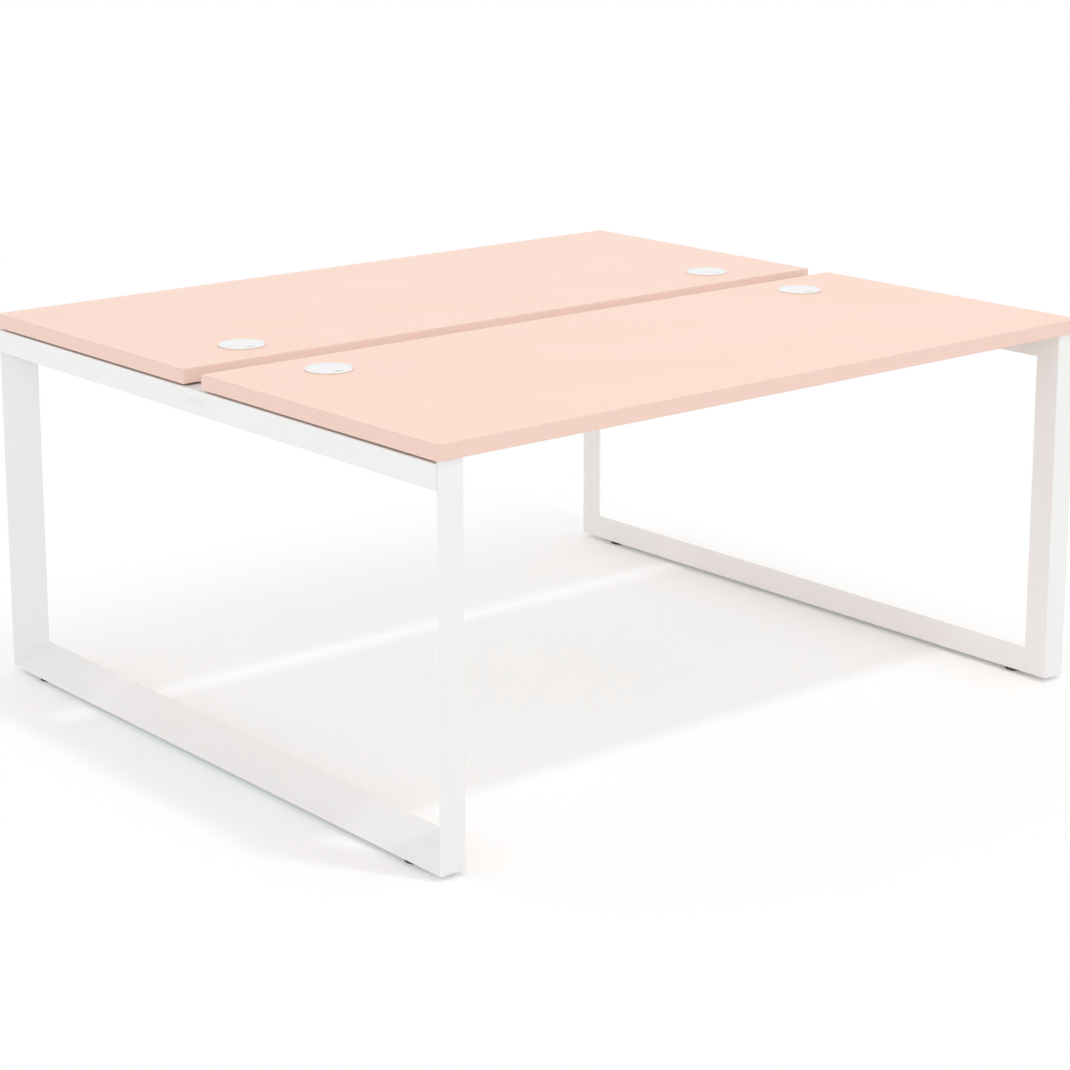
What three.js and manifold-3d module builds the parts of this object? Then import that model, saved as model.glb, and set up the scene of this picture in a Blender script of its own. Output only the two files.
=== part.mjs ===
// Benching desk for two: two melamine tops on a pair of closed steel hoops, with cable grommets and
// levelling feet. Millimetres, +Z up. The origin is on the floor under the middle of the desk, X runs
// along the desk and the front user sits on the -Y side.
import * as THREE from "three";
import { mergeVertices } from "three/addons/utils/BufferGeometryUtils.js";
import Module from "manifold-3d";

// Desk and tops
const deskLength = 1600;
const deskHeight = 740;
const topDepth = 681;
const topGap = 58;
const topThickness = 28;
const edgeBandThickness = 2;
const edgeBandRadius = 1.5;
const edgeBandLand = 0.2;

// Hoops: legs and bottom rails are right-angled triangular tubes whose outer face slopes
const hoopEndSetback = 1;
const hoopSideSetback = 5;
const hoopFloorGap = 9;
const profileWidth = 55;
const profileDepth = 55;
const profileWall = 2;
const profileTipRadius = 1;
const profileHeelRadius = 2;
const railHeight = 45;
const railRadius = 2;
const weldGap = 0.3;

// Spacer strips that float the tops above the hoops, and the screws through them
const spacerThickness = 4.5;
const spacerWidth = 30;
const spacerEndInset = 14;
const spacerCornerRadius = 4;
const topScrewInset = 60;
const topScrewDiameter = 6;
const topScrewHeadDiameter = 12;
const topScrewHeadHeight = 4;
const topScrewHeadRound = 2;
const topScrewCover = 12;
const screwTipLength = 5;
const screwAccessClearance = 1.5;

// Beams between the hoops, with bolted end plates
const beamHeight = 40;
const beamWidth = 30;
const beamWall = 2;
const beamRadius = 2;
const plateThickness = 5;
const plateLength = 92;
const plateHeight = 36;
const plateRadius = 5;
const plateBoltInset = 14;
const boltDiameter = 8;
const boltHeadAcrossFlats = 13;
const boltHeadHeight = 5.3;
const boltReach = 8;

// Cable grommets: a flanged liner and a lid that turns in it
const grommetEndInset = 200;
const grommetGapInset = 110;
const grommetHoleDiameter = 80;
const flangeOverlap = 4;
const flangeHeight = 3;
const flangeRebate = 0.6;
const flangeRimHeight = 1.2;
const flangeRoundWidth = 2.2;
const sleeveWall = 2.5;
const sleeveDepth = 20;
const recessInset = 1.4;
const ledgeWidth = 5;
const ledgeThickness = 2.5;
const lidSeatGap = 0.2;
const lidSinkage = 0.2;
const lidBevel = 0.4;
const notchWidth = 22;
const notchDepth = 15;
const webMargin = 4;

// Levelling feet: a threaded bush in the bottom rail, a spindle and a swivelling base
const footEndInset = 100;
const footBaseDiameter = 38;
const footBaseChamfer = 2.4;
const footBaseToe = 0.8;
const footStopGap = 0.3;
const spindleDiameter = 10;
const spindleChamfer = 1;
const spindleHeadroom = 0.8;
const socketFloor = 2.5;
const bushWall = 1.2;
const bushHeight = 12;
const bushFlangeDiameter = 20;
const bushFlangeThickness = 1.5;

// Blank badge on the left hoop's top rail
const badgeLength = 50;
const badgeHeight = 9;
const badgeThickness = 0.8;
const badgeCornerRadius = 2;
const badgeOffset = -7;

// Clearance all round a pin in its hole, and how far a cutter runs past what it cuts
const fitClearance = 0.3;
const cutOverrun = 1;

// Flats that stand for a full circle
const grommetSegments = 32;
const lidArcSegments = 14;
const footBaseSegments = 24;
const spindleSegments = 16;
const pinSegments = 12;

// Places worked out from the sizes above
const deskDepth = 2 * topDepth + topGap;
const topCentreY = (topGap + topDepth) / 2;
const topUnderside = deskHeight - topThickness;
const railTop = topUnderside - spacerThickness;
const railBottom = railTop - railHeight;
const railMiddle = (railTop + railBottom) / 2;
const hoopOuterX = deskLength / 2 - hoopEndSetback;
const hoopInnerX = hoopOuterX - profileWidth;
const hoopMiddleX = hoopOuterX - profileWidth / 2;
const hoopFaceY = deskDepth / 2 - hoopSideSetback;
const profileSlope = profileDepth / profileWidth;
const slopeStretch = Math.hypot(1, profileSlope);
const spacerStart = topGap / 2 + spacerEndInset;
const spacerEnd = hoopFaceY - profileDepth - spacerEndInset;
const topScrewPlaces = [spacerStart + topScrewInset, spacerEnd - topScrewInset];
const beamEndX = hoopInnerX - plateThickness;
const boltOffset = plateLength / 2 - plateBoltInset;
const boltPlaces = [topCentreY - boltOffset, topCentreY + boltOffset];
const grommetX = deskLength / 2 - grommetEndInset;
const grommetY = topGap / 2 + grommetGapInset;
const flangeRadius = grommetHoleDiameter / 2 + flangeOverlap;
const flangeBase = deskHeight - flangeRebate;
const footY = hoopFaceY - footEndInset;

const sides = [
  { name: "left", sign: -1 },
  { name: "right", sign: 1 },
];
const fronts = [
  { name: "front", sign: -1 },
  { name: "back", sign: 1 },
];
const rimTurns = [0, Math.PI / 4, Math.PI / 2];
const screwNames = ["inner", "outer"];

const paint = {
  melamine: { color: 0xf8d8c8, roughness: 0.55, metalness: 0 },
  edgeBand: { color: 0xf5d2c2, roughness: 0.5, metalness: 0 },
  powderCoat: { color: 0xf2f2f2, roughness: 0.5, metalness: 0 },
  whitePlastic: { color: 0xf4f4f2, roughness: 0.4, metalness: 0 },
  blackPlastic: { color: 0x1b1b1c, roughness: 0.6, metalness: 0 },
  zinc: { color: 0xb8bbbf, roughness: 0.35, metalness: 1 },
  badge: { color: 0xdadbdc, roughness: 0.4, metalness: 0 },
};

const wasm = await Module();
wasm.setup();
const desk = new THREE.Group();

/** Turns a closed surface the right way round if its faces point inwards. */
function faceOut(geometry) {
  const flat = geometry.index ? geometry.toNonIndexed() : geometry;
  const place = flat.attributes.position;
  const corner = [new THREE.Vector3(), new THREE.Vector3(), new THREE.Vector3()];
  let volume = 0;
  for (let i = 0; i < place.count; i += 3) {
    corner.forEach((point, k) => point.fromBufferAttribute(place, i + k));
    volume += corner[0].dot(corner[1].clone().cross(corner[2]));
  }
  if (volume < 0) {
    for (let i = 0; i < place.count; i += 3) {
      corner.forEach((point, k) => point.fromBufferAttribute(place, i + k));
      place.setXYZ(i + 1, ...corner[2].toArray());
      place.setXYZ(i + 2, ...corner[1].toArray());
    }
  }
  flat.computeVertexNormals();
  return flat;
}

/** A closed geometry as a solid that can be joined and cut. */
function solid(geometry) {
  const bare = faceOut(geometry).clone();
  bare.deleteAttribute("normal");
  bare.deleteAttribute("uv");
  const merged = mergeVertices(bare);
  const vertProperties = new Float32Array(merged.attributes.position.array);
  const triVerts = new Uint32Array(merged.index.array);
  return new wasm.Manifold(new wasm.Mesh({ numProp: 3, vertProperties, triVerts }));
}

/** A solid back as a geometry. */
function surface(body) {
  const mesh = body.getMesh();
  const geometry = new THREE.BufferGeometry();
  geometry.setAttribute("position", new THREE.BufferAttribute(mesh.vertProperties, 3));
  geometry.setIndex(new THREE.BufferAttribute(mesh.triVerts, 1));
  const flat = geometry.toNonIndexed();
  flat.computeVertexNormals();
  return flat;
}

/** A geometry with each cutter taken out of it. */
function cut(geometry, cutters) {
  return surface(cutters.reduce((body, cutter) => body.subtract(solid(cutter)), solid(geometry)));
}

/** Adds a named piece to the desk. */
function add(name, geometry, finish) {
  const mesh = new THREE.Mesh(faceOut(geometry), new THREE.MeshStandardMaterial(finish));
  mesh.name = name;
  desk.add(mesh);
  return mesh;
}

/** An outline through corners given as [x, y, radius], each rounded by its radius. */
function outline(corners, path = new THREE.Shape()) {
  corners.forEach(([x, y, radius], i) => {
    const here = new THREE.Vector2(x, y);
    if (radius === 0) {
      i === 0 ? path.moveTo(x, y) : path.lineTo(x, y);
      return;
    }
    const [px, py] = corners[(i + corners.length - 1) % corners.length];
    const [nx, ny] = corners[(i + 1) % corners.length];
    const back = new THREE.Vector2(px, py).sub(here).normalize();
    const ahead = new THREE.Vector2(nx, ny).sub(here).normalize();
    const half = Math.acos(back.dot(ahead)) / 2;
    const run = radius / Math.tan(half);
    const centre = here.clone().addScaledVector(back.clone().add(ahead).normalize(), radius / Math.sin(half));
    const from = here.clone().addScaledVector(back, run).sub(centre);
    const to = here.clone().addScaledVector(ahead, run).sub(centre);
    path.absarc(centre.x, centre.y, radius, from.angle(), to.angle(), from.cross(to) < 0);
  });
  path.closePath();
  return path;
}

/** A rectangle's corners for outline(), with one radius. */
function rectangle(x0, y0, x1, y1, radius = 0) {
  return [[x0, y0, radius], [x1, y0, radius], [x1, y1, radius], [x0, y1, radius]];
}

/** A rectangle's corners for outline(), about the origin. */
function centredRectangle(width, height, radius) {
  return rectangle(-width / 2, -height / 2, width / 2, height / 2, radius);
}

/** A section swept from one end to the other: place(u, v, end) puts each of its points, end being 0 or 1. */
function sweep(section, place, curveSegments = 2) {
  const geometry = new THREE.ExtrudeGeometry(section, { depth: 1, bevelEnabled: false, curveSegments });
  const points = geometry.attributes.position;
  for (let i = 0; i < points.count; i += 1) {
    points.setXYZ(i, ...place(points.getX(i), points.getY(i), points.getZ(i)));
  }
  return geometry;
}

/** A block between two heights with a given plan. */
function slab(plan, low, high, curveSegments = 2) {
  return sweep(plan, (x, y, end) => [x, y, end ? high : low], curveSegments);
}

/** A turned piece about the upright axis through (x, y), from a profile of [radius, height]. */
function turned(profile, x, y, segments) {
  const geometry = new THREE.LatheGeometry(profile.map(([r, z]) => new THREE.Vector2(r, z)), segments);
  geometry.rotateX(Math.PI / 2);
  geometry.translate(x, y, 0);
  return geometry;
}

/** An upright round bar, used for pins and for drilling. */
function uprightBar(diameter, x, y, low, high, segments = pinSegments) {
  const geometry = new THREE.CylinderGeometry(diameter / 2, diameter / 2, high - low, segments);
  geometry.rotateX(Math.PI / 2);
  geometry.translate(x, y, (low + high) / 2);
  return geometry;
}

/** A round or six-sided bar along X. */
function levelBar(diameter, x0, x1, y, z, segments = pinSegments) {
  const geometry = new THREE.CylinderGeometry(diameter / 2, diameter / 2, Math.abs(x1 - x0), segments);
  geometry.rotateZ(Math.PI / 2);
  geometry.translate((x0 + x1) / 2, y, z);
  return geometry;
}

/** The triangular tube's section: u from the outer edge inwards, v from the outer face of the hoop. */
function profileSection() {
  const shape = outline([
    [0, 0, profileTipRadius],
    [profileWidth, 0, profileHeelRadius],
    [profileWidth, profileDepth, profileTipRadius],
  ]);
  const slopeWall = profileWall * slopeStretch;
  const innerFace = profileWidth - profileWall;
  const bore = outline([
    [(profileWall + slopeWall) / profileSlope, profileWall, 0],
    [innerFace, profileWall, 0],
    [innerFace, innerFace * profileSlope - slopeWall, 0],
  ], new THREE.Path());
  shape.holes.push(bore);
  return shape;
}

/** A rectangular tube's section from (0, 0) to (width, height). */
function boxSection(width, height, wall, radius) {
  const shape = outline(rectangle(0, 0, width, height, radius));
  shape.holes.push(outline(rectangle(wall, wall, width - wall, height - wall), new THREE.Path()));
  return shape;
}

/** One worktop: its board, drilled for grommets and screws, and the edge band round it. */
function buildTop(front) {
  const middle = front.sign * topCentreY;
  const halfLength = deskLength / 2;
  const halfDepth = topDepth / 2;
  const boardHalfLength = halfLength - edgeBandThickness;
  const boardHalfDepth = halfDepth - edgeBandThickness;
  const boardFront = middle - boardHalfDepth;
  const boardBack = middle + boardHalfDepth;
  const boardPlan = rectangle(-boardHalfLength, boardFront, boardHalfLength, boardBack);
  const plan = outline(boardPlan);
  for (const side of sides) {
    const hole = new THREE.Path();
    hole.absarc(side.sign * grommetX, front.sign * grommetY, grommetHoleDiameter / 2, 0, 2 * Math.PI);
    plan.holes.push(hole);
  }
  const board = slab(plan, topUnderside, deskHeight, grommetSegments / 2);
  const pilotTop = deskHeight - topScrewCover + fitClearance;
  const pilots = sides.flatMap((side) => topScrewPlaces.map((place) => uprightBar(
    topScrewDiameter + 2 * fitClearance,
    side.sign * hoopMiddleX,
    front.sign * place,
    topUnderside - cutOverrun,
    pilotTop,
  )));
  const rebates = sides.map((side) => uprightBar(
    2 * (flangeRadius + fitClearance),
    side.sign * grommetX,
    front.sign * grommetY,
    flangeBase,
    deskHeight + cutOverrun,
    grommetSegments,
  ));
  add(`${front.name}_top`, cut(board, [...pilots, ...rebates]), paint.melamine);

  const edgeRadius = Math.min(edgeBandRadius, edgeBandThickness - edgeBandLand);
  const band = new THREE.ExtrudeGeometry(
    outline(rectangle(-halfLength, middle - halfDepth, halfLength, middle + halfDepth, edgeBandThickness)),
    {
      depth: topThickness - 2 * edgeRadius,
      bevelThickness: edgeRadius,
      bevelSize: edgeRadius,
      bevelOffset: -edgeRadius,
      bevelSegments: 3,
      curveSegments: 2,
    },
  );
  band.translate(0, 0, topUnderside + edgeRadius);
  const inside = slab(outline(boardPlan), topUnderside - cutOverrun, deskHeight + cutOverrun);
  add(`${front.name}_top_edge_band`, cut(band, [inside]), paint.edgeBand);
}

/** A leg, mitred at its foot and square under the top. */
function buildLeg(side, front) {
  const leg = sweep(profileSection(), (u, v, end) => [
    side.sign * (hoopOuterX - u),
    front.sign * (hoopFaceY - v),
    end ? topUnderside : hoopFloorGap + v + weldGap / 2,
  ]);
  add(`${side.name}_hoop_${front.name}_leg`, leg, paint.powderCoat);
}

/** The rail on the floor side, mitred to both legs and drilled for the feet. */
function buildBottomRail(side) {
  const rail = sweep(profileSection(), (u, v, end) => [
    side.sign * (hoopOuterX - u),
    (end ? 1 : -1) * (hoopFaceY - v - weldGap / 2),
    hoopFloorGap + v,
  ]);
  const bushHole = spindleDiameter + 2 * (2 * fitClearance + bushWall);
  const holes = fronts.map((front) => uprightBar(
    bushHole,
    side.sign * hoopMiddleX,
    front.sign * footY,
    hoopFloorGap - cutOverrun,
    hoopFloorGap + profileWall + cutOverrun,
    spindleSegments,
  ));
  add(`${side.name}_hoop_bottom_rail`, cut(rail, holes), paint.powderCoat);
}

/** The rail under the tops, its ends cut to lie against the legs' sloped faces, and all its holes. */
function buildTopRail(side) {
  const rail = sweep(boxSection(profileWidth, railHeight, profileWall, railRadius), (u, v, end) => [
    side.sign * (hoopOuterX - u),
    (end ? 1 : -1) * (hoopFaceY - u * profileSlope - weldGap * slopeStretch),
    railBottom + v,
  ]);
  const wallCut = profileWall + cutOverrun;
  const holes = fronts.flatMap((front) => [
    ...topScrewPlaces.flatMap((place) => {
      const x = side.sign * hoopMiddleX;
      const y = front.sign * place;
      const access = topScrewHeadDiameter + 2 * screwAccessClearance;
      const shank = topScrewDiameter + 2 * fitClearance;
      return [
        uprightBar(access, x, y, railBottom - cutOverrun, railBottom + wallCut),
        uprightBar(shank, x, y, railTop - wallCut, railTop + cutOverrun),
      ];
    }),
    ...boltPlaces.map((place) => levelBar(
      boltDiameter + 2 * fitClearance,
      side.sign * (hoopInnerX - cutOverrun),
      side.sign * (hoopInnerX + wallCut),
      front.sign * place,
      railMiddle,
    )),
  ]);
  add(`${side.name}_hoop_top_rail`, cut(rail, holes), paint.powderCoat);
}

/** The strip between a top and a top rail, with its two screws driven up from inside the rail. */
function buildSpacer(side, front) {
  const x = side.sign * hoopMiddleX;
  const ends = [front.sign * spacerStart, front.sign * spacerEnd];
  const plan = outline(rectangle(
    x - spacerWidth / 2,
    Math.min(...ends),
    x + spacerWidth / 2,
    Math.max(...ends),
    spacerCornerRadius,
  ));
  const strip = slab(plan, railTop, topUnderside);
  const holes = topScrewPlaces.map((place) => uprightBar(
    topScrewDiameter + 2 * fitClearance,
    x,
    front.sign * place,
    railTop - cutOverrun,
    topUnderside + cutOverrun,
  ));
  add(`${front.name}_top_${side.name}_spacer`, cut(strip, holes), paint.blackPlastic);

  const headTop = railTop - profileWall;
  const headBottom = headTop - topScrewHeadHeight;
  const tip = deskHeight - topScrewCover;
  const headRadius = topScrewHeadDiameter / 2;
  const shankRadius = topScrewDiameter / 2;
  topScrewPlaces.forEach((place, i) => {
    const screw = turned([
      [0, headBottom],
      [headRadius - topScrewHeadRound, headBottom],
      [headRadius, headBottom + topScrewHeadRound],
      [headRadius, headTop],
      [shankRadius, headTop],
      [shankRadius, tip - screwTipLength],
      [0, tip],
    ], x, front.sign * place, pinSegments);
    add(`${front.name}_top_${side.name}_${screwNames[i]}_screw`, screw, paint.zinc);
  });
}

/** A beam under the middle of a top, with an end plate and two bolts at each hoop. */
function buildBeam(front) {
  const y = front.sign * topCentreY;
  const beam = sweep(boxSection(beamWidth, beamHeight, beamWall, beamRadius), (u, v, end) => [
    (end ? 1 : -1) * beamEndX,
    y + u - beamWidth / 2,
    topUnderside - beamHeight + v,
  ]);
  add(`${front.name}_beam`, beam, paint.powderCoat);

  const plate = outline(centredRectangle(plateLength, plateHeight, plateRadius));
  for (const side of sides) {
    const faces = [side.sign * beamEndX, side.sign * hoopInnerX];
    const blank = sweep(plate, (u, v, end) => [faces[end], y + u, railMiddle + v]);
    const holes = boltPlaces.map((place) => levelBar(
      boltDiameter + 2 * fitClearance,
      side.sign * (beamEndX - cutOverrun),
      side.sign * (hoopInnerX + cutOverrun),
      front.sign * place,
      railMiddle,
    ));
    add(`${front.name}_beam_${side.name}_plate`, cut(blank, holes), paint.powderCoat);
    boltPlaces.forEach((place, i) => {
      const headFace = side.sign * beamEndX;
      const headDiameter = boltHeadAcrossFlats / Math.cos(Math.PI / 6);
      const headEnd = side.sign * (beamEndX - boltHeadHeight);
      const shankEnd = side.sign * (hoopInnerX + profileWall + boltReach);
      const shankStart = side.sign * (beamEndX - boltHeadHeight / 2);
      const head = solid(levelBar(headDiameter, headEnd, headFace, front.sign * place, railMiddle, 6));
      const shank = solid(levelBar(boltDiameter, shankStart, shankEnd, front.sign * place, railMiddle));
      add(`${front.name}_beam_${side.name}_${screwNames[i]}_bolt`, surface(head.add(shank)), paint.zinc);
    });
  }
}

/** A cable grommet: the liner pressed into its hole, and the notched lid that turns over its web. */
function buildGrommet(side, front) {
  const x = side.sign * grommetX;
  const y = front.sign * grommetY;
  const sleeveOuter = grommetHoleDiameter / 2 - fitClearance;
  const sleeveInner = sleeveOuter - sleeveWall;
  const recessRadius = sleeveOuter - recessInset;
  const ledgeInner = sleeveInner - ledgeWidth;
  const flangeTop = deskHeight + flangeHeight;
  const roundedRim = rimTurns.map((turn) => [
    flangeRadius - flangeRoundWidth * (1 - Math.sin(turn)),
    deskHeight + flangeRimHeight + (flangeHeight - flangeRimHeight) * Math.cos(turn),
  ]);
  const ring = turned([
    [ledgeInner, deskHeight],
    [recessRadius, deskHeight],
    [recessRadius, flangeTop],
    ...roundedRim,
    [flangeRadius, flangeBase],
    [sleeveOuter, flangeBase],
    [sleeveOuter, deskHeight - sleeveDepth],
    [sleeveInner, deskHeight - sleeveDepth],
    [sleeveInner, deskHeight - ledgeThickness],
    [ledgeInner, deskHeight - ledgeThickness],
    [ledgeInner, deskHeight],
  ], x, y, grommetSegments);
  const lidRadius = recessRadius - fitClearance;
  const notchEnd = lidRadius - notchDepth;
  const web = slab(outline(rectangle(
    x - notchWidth / 2 - webMargin,
    y - ledgeInner - ledgeWidth / 2,
    x + notchWidth / 2 + webMargin,
    y - notchEnd + webMargin,
  )), deskHeight - ledgeThickness, deskHeight);
  const liner = surface(solid(ring).add(solid(web)));
  add(`${front.name}_${side.name}_grommet_liner`, liner, paint.whitePlastic);

  const notchHalf = notchWidth / 2;
  const mouth = Math.asin(notchHalf / (lidRadius - lidBevel));
  const plan = new THREE.Shape();
  plan.absarc(0, 0, lidRadius - lidBevel, mouth - Math.PI / 2, 1.5 * Math.PI - mouth);
  plan.absarc(0, -notchEnd - notchHalf, notchHalf, Math.PI, 0, true);
  plan.closePath();
  const lid = new THREE.ExtrudeGeometry(plan, {
    depth: flangeHeight - lidSeatGap - lidSinkage - 2 * lidBevel,
    bevelThickness: lidBevel,
    bevelSize: lidBevel,
    bevelSegments: 1,
    curveSegments: lidArcSegments,
  });
  lid.translate(x, y, deskHeight + lidSeatGap + lidBevel);
  add(`${front.name}_${side.name}_grommet_lid`, lid, paint.whitePlastic);
}

/** A levelling foot: the bush riveted in the rail, the spindle in it and the base it turns in. */
function buildFoot(side, front) {
  const x = side.sign * hoopMiddleX;
  const y = front.sign * footY;
  const name = `${front.name}_${side.name}_foot`;
  const spindleRadius = spindleDiameter / 2;
  const boreRadius = spindleRadius + fitClearance;
  const bushRadius = boreRadius + bushWall;
  const bushBottom = hoopFloorGap - bushFlangeThickness;
  const bush = turned([
    [boreRadius, bushBottom],
    [bushFlangeDiameter / 2, bushBottom],
    [bushFlangeDiameter / 2, hoopFloorGap],
    [bushRadius, hoopFloorGap],
    [bushRadius, hoopFloorGap + bushHeight],
    [boreRadius, hoopFloorGap + bushHeight],
    [boreRadius, bushBottom],
  ], x, y, spindleSegments);
  add(`${name}_bush`, bush, paint.zinc);

  const baseRadius = footBaseDiameter / 2;
  const baseTop = bushBottom - footStopGap;
  const base = turned([
    [0, 0],
    [baseRadius - footBaseToe, 0],
    [baseRadius, footBaseToe],
    [baseRadius, baseTop - footBaseChamfer],
    [baseRadius - footBaseChamfer, baseTop],
    [boreRadius, baseTop],
    [boreRadius, socketFloor],
    [0, socketFloor],
  ], x, y, footBaseSegments);
  add(`${name}_base`, base, paint.blackPlastic);

  const slopeAbove = (profileWidth / 2 - spindleRadius) * profileSlope - profileWall * slopeStretch;
  const spindleTop = hoopFloorGap + slopeAbove - spindleHeadroom;
  const spindleFoot = socketFloor + fitClearance;
  const spindle = turned([
    [0, spindleFoot],
    [spindleRadius, spindleFoot],
    [spindleRadius, spindleTop - spindleChamfer],
    [spindleRadius - spindleChamfer, spindleTop],
    [0, spindleTop],
  ], x, y, spindleSegments);
  add(`${name}_spindle`, spindle, paint.zinc);
}

/** The plain plate on the outside of the left hoop. */
function buildBadge() {
  const plate = outline(centredRectangle(badgeLength, badgeHeight, badgeCornerRadius));
  const faces = [-hoopOuterX - badgeThickness, -hoopOuterX];
  add("badge_plate", sweep(plate, (u, v, end) => [faces[end], badgeOffset + u, railMiddle + v]), paint.badge);
}

fronts.forEach(buildTop);
for (const side of sides) {
  buildTopRail(side);
  buildBottomRail(side);
  for (const front of fronts) {
    buildLeg(side, front);
    buildSpacer(side, front);
    buildGrommet(side, front);
    buildFoot(side, front);
  }
}
fronts.forEach(buildBeam);
buildBadge();

export default desk;
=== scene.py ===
"""Benching desk for two: finishes, small details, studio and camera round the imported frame."""
import logging
import math
from dataclasses import dataclass
from enum import Enum
from typing import Any, Sequence

import bmesh
import bpy
from bpy.types import Material, Mesh, Node, NodeSocket, NodeTree, Object, World
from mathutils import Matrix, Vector


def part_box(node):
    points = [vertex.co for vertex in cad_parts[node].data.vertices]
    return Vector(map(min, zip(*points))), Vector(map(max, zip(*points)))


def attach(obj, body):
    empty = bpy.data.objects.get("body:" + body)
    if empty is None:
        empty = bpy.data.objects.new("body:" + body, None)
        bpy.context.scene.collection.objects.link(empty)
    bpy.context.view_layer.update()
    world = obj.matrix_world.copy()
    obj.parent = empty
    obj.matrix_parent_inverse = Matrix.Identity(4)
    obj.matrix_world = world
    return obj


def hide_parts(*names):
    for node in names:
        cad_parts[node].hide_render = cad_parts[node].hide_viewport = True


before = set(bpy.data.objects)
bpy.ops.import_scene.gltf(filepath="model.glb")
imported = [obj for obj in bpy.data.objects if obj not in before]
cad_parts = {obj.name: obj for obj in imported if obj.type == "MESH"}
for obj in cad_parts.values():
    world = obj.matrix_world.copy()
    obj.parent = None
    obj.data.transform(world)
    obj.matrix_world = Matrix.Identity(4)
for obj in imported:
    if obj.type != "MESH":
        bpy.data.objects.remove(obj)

log = logging.getLogger("benching_desk")

Point = tuple[float, float]
Span = tuple[float, float]
Place = tuple[float, float, float]
Colour = tuple[float, float, float, float]

MM = 0.001
TINY = 1e-7
WHITE: Colour = (1.0, 1.0, 1.0, 1.0)
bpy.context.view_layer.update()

# Edges sharper than this many degrees stay sharp
SHARP_EDGE = 32.0
SHARP_CUT = 40.0
SHARP_BEAD = 60.0

# A Mix node's colour sockets, which share their names with its other sockets
MIX_SHARE, MIX_FIRST, MIX_SECOND, MIX_RESULT = 0, 6, 7, 2


class NodeWord(Enum):
    """A choice whose name is also its word in node names."""

    @property
    def label(self) -> str:
        """The word in node names."""
        return self.name.lower()


class Side(NodeWord):
    """The two ends of the desk, by their sign along X."""

    LEFT = -1
    RIGHT = 1


class Row(NodeWord):
    """The two users' halves of the desk, by their sign along Y."""

    FRONT = -1
    BACK = 1


class Combine(Enum):
    """How two closed shapes are put together."""

    JOIN = "UNION"
    CUT = "DIFFERENCE"
    KEEP_COMMON = "INTERSECT"


QUARTERS: list[tuple[Row, Side]] = [(row, side) for row in Row for side in Side]
FIXING_ORDER = ("inner", "outer")


def quarter(row: Row, side: Side) -> str:
    """The words of one quarter of the desk in node names."""
    return f"{row.label}_{side.label}"


def srgb(red: int, green: int, blue: int) -> Colour:
    """A colour as a screen shows it, turned into the linear values that shaders take.

    Args:
        red: red from 0 to 255.
        green: green from 0 to 255.
        blue: blue from 0 to 255.

    Returns:
        The linear colour with full alpha.
    """
    def linear(value: int) -> float:
        """One channel in linear light."""
        share = value / 255
        return share / 12.92 if share <= 0.04045 else ((share + 0.055) / 1.055) ** 2.4

    return (linear(red), linear(green), linear(blue), 1.0)


# Nodes


def put(tree: NodeTree, kind: str, inputs: dict[Any, Any] | None = None, **settings: Any) -> Node:
    """Adds a node, sets its options and fills or links its inputs.

    Args:
        tree: the tree that gets the node.
        kind: the node's type name.
        inputs: values or sockets by input name or index.
        settings: the node's own options.

    Returns:
        The new node.
    """
    node = tree.nodes.new(kind)
    for key, value in settings.items():
        setattr(node, key, value)
    for key, value in (inputs or {}).items():
        if isinstance(value, NodeSocket):
            tree.links.new(value, node.inputs[key])
        else:
            node.inputs[key].default_value = value
    return node


def sums(tree: NodeTree, operation: str, *values: Any) -> NodeSocket:
    """What a Math node gives for values or sockets, taken in order."""
    return put(tree, "ShaderNodeMath", dict(enumerate(values)), operation=operation).outputs[0]


def vectors(tree: NodeTree, operation: str, *values: Any) -> NodeSocket:
    """The vector that a Vector Math node gives for values or sockets, taken in order."""
    node = put(tree, "ShaderNodeVectorMath", dict(enumerate(values)), operation=operation)
    return node.outputs["Vector"]


def measure(tree: NodeTree, operation: str, *values: Any) -> NodeSocket:
    """The number that a Vector Math node gives for values or sockets, taken in order."""
    node = put(tree, "ShaderNodeVectorMath", dict(enumerate(values)), operation=operation)
    return node.outputs["Value"]


def split(tree: NodeTree, vector: NodeSocket) -> Sequence[NodeSocket]:
    """The X, Y and Z of a vector."""
    return put(tree, "ShaderNodeSeparateXYZ", {0: vector}).outputs


def ramp(
    tree: NodeTree, value: Any, source: tuple[Any, Any], target: Span = (0.0, 1.0)
) -> NodeSocket:
    """A smooth, clamped change that takes a value from the source's two ends to the target's."""
    inputs = {0: value, 1: source[0], 2: source[1], 3: target[0], 4: target[1]}
    return put(tree, "ShaderNodeMapRange", inputs, interpolation_type="SMOOTHSTEP").outputs[0]


def noise(
    tree: NodeTree, place: NodeSocket, scale: Any, detail: Any, roughness: float = 0.5
) -> NodeSocket:
    """A noise over a place, as a value round a half."""
    inputs = {"Vector": place, "Scale": scale, "Detail": detail, "Roughness": roughness}
    return put(tree, "ShaderNodeTexNoise", inputs).outputs[0]


def mixed(tree: NodeTree, share: Any, first: Any, second: Any) -> NodeSocket:
    """The colour between two others, all of the first where the share is 0."""
    inputs = {MIX_SHARE: share, MIX_FIRST: first, MIX_SECOND: second}
    return put(tree, "ShaderNodeMix", inputs, data_type="RGBA").outputs[MIX_RESULT]


def grouped(tree: NodeTree, group: NodeTree, **values: float) -> NodeSocket:
    """The first output of a shared group, placed in a material with its own values."""
    return put(tree, "ShaderNodeGroup", values, node_tree=group).outputs[0]


def cleared(owner: Material | World) -> NodeTree:
    """The node tree of a material or a world, emptied.

    Args:
        owner: the material or world.

    Returns:
        The tree.
    """
    owner.use_nodes = True
    owner.node_tree.nodes.clear()
    return owner.node_tree


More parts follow.
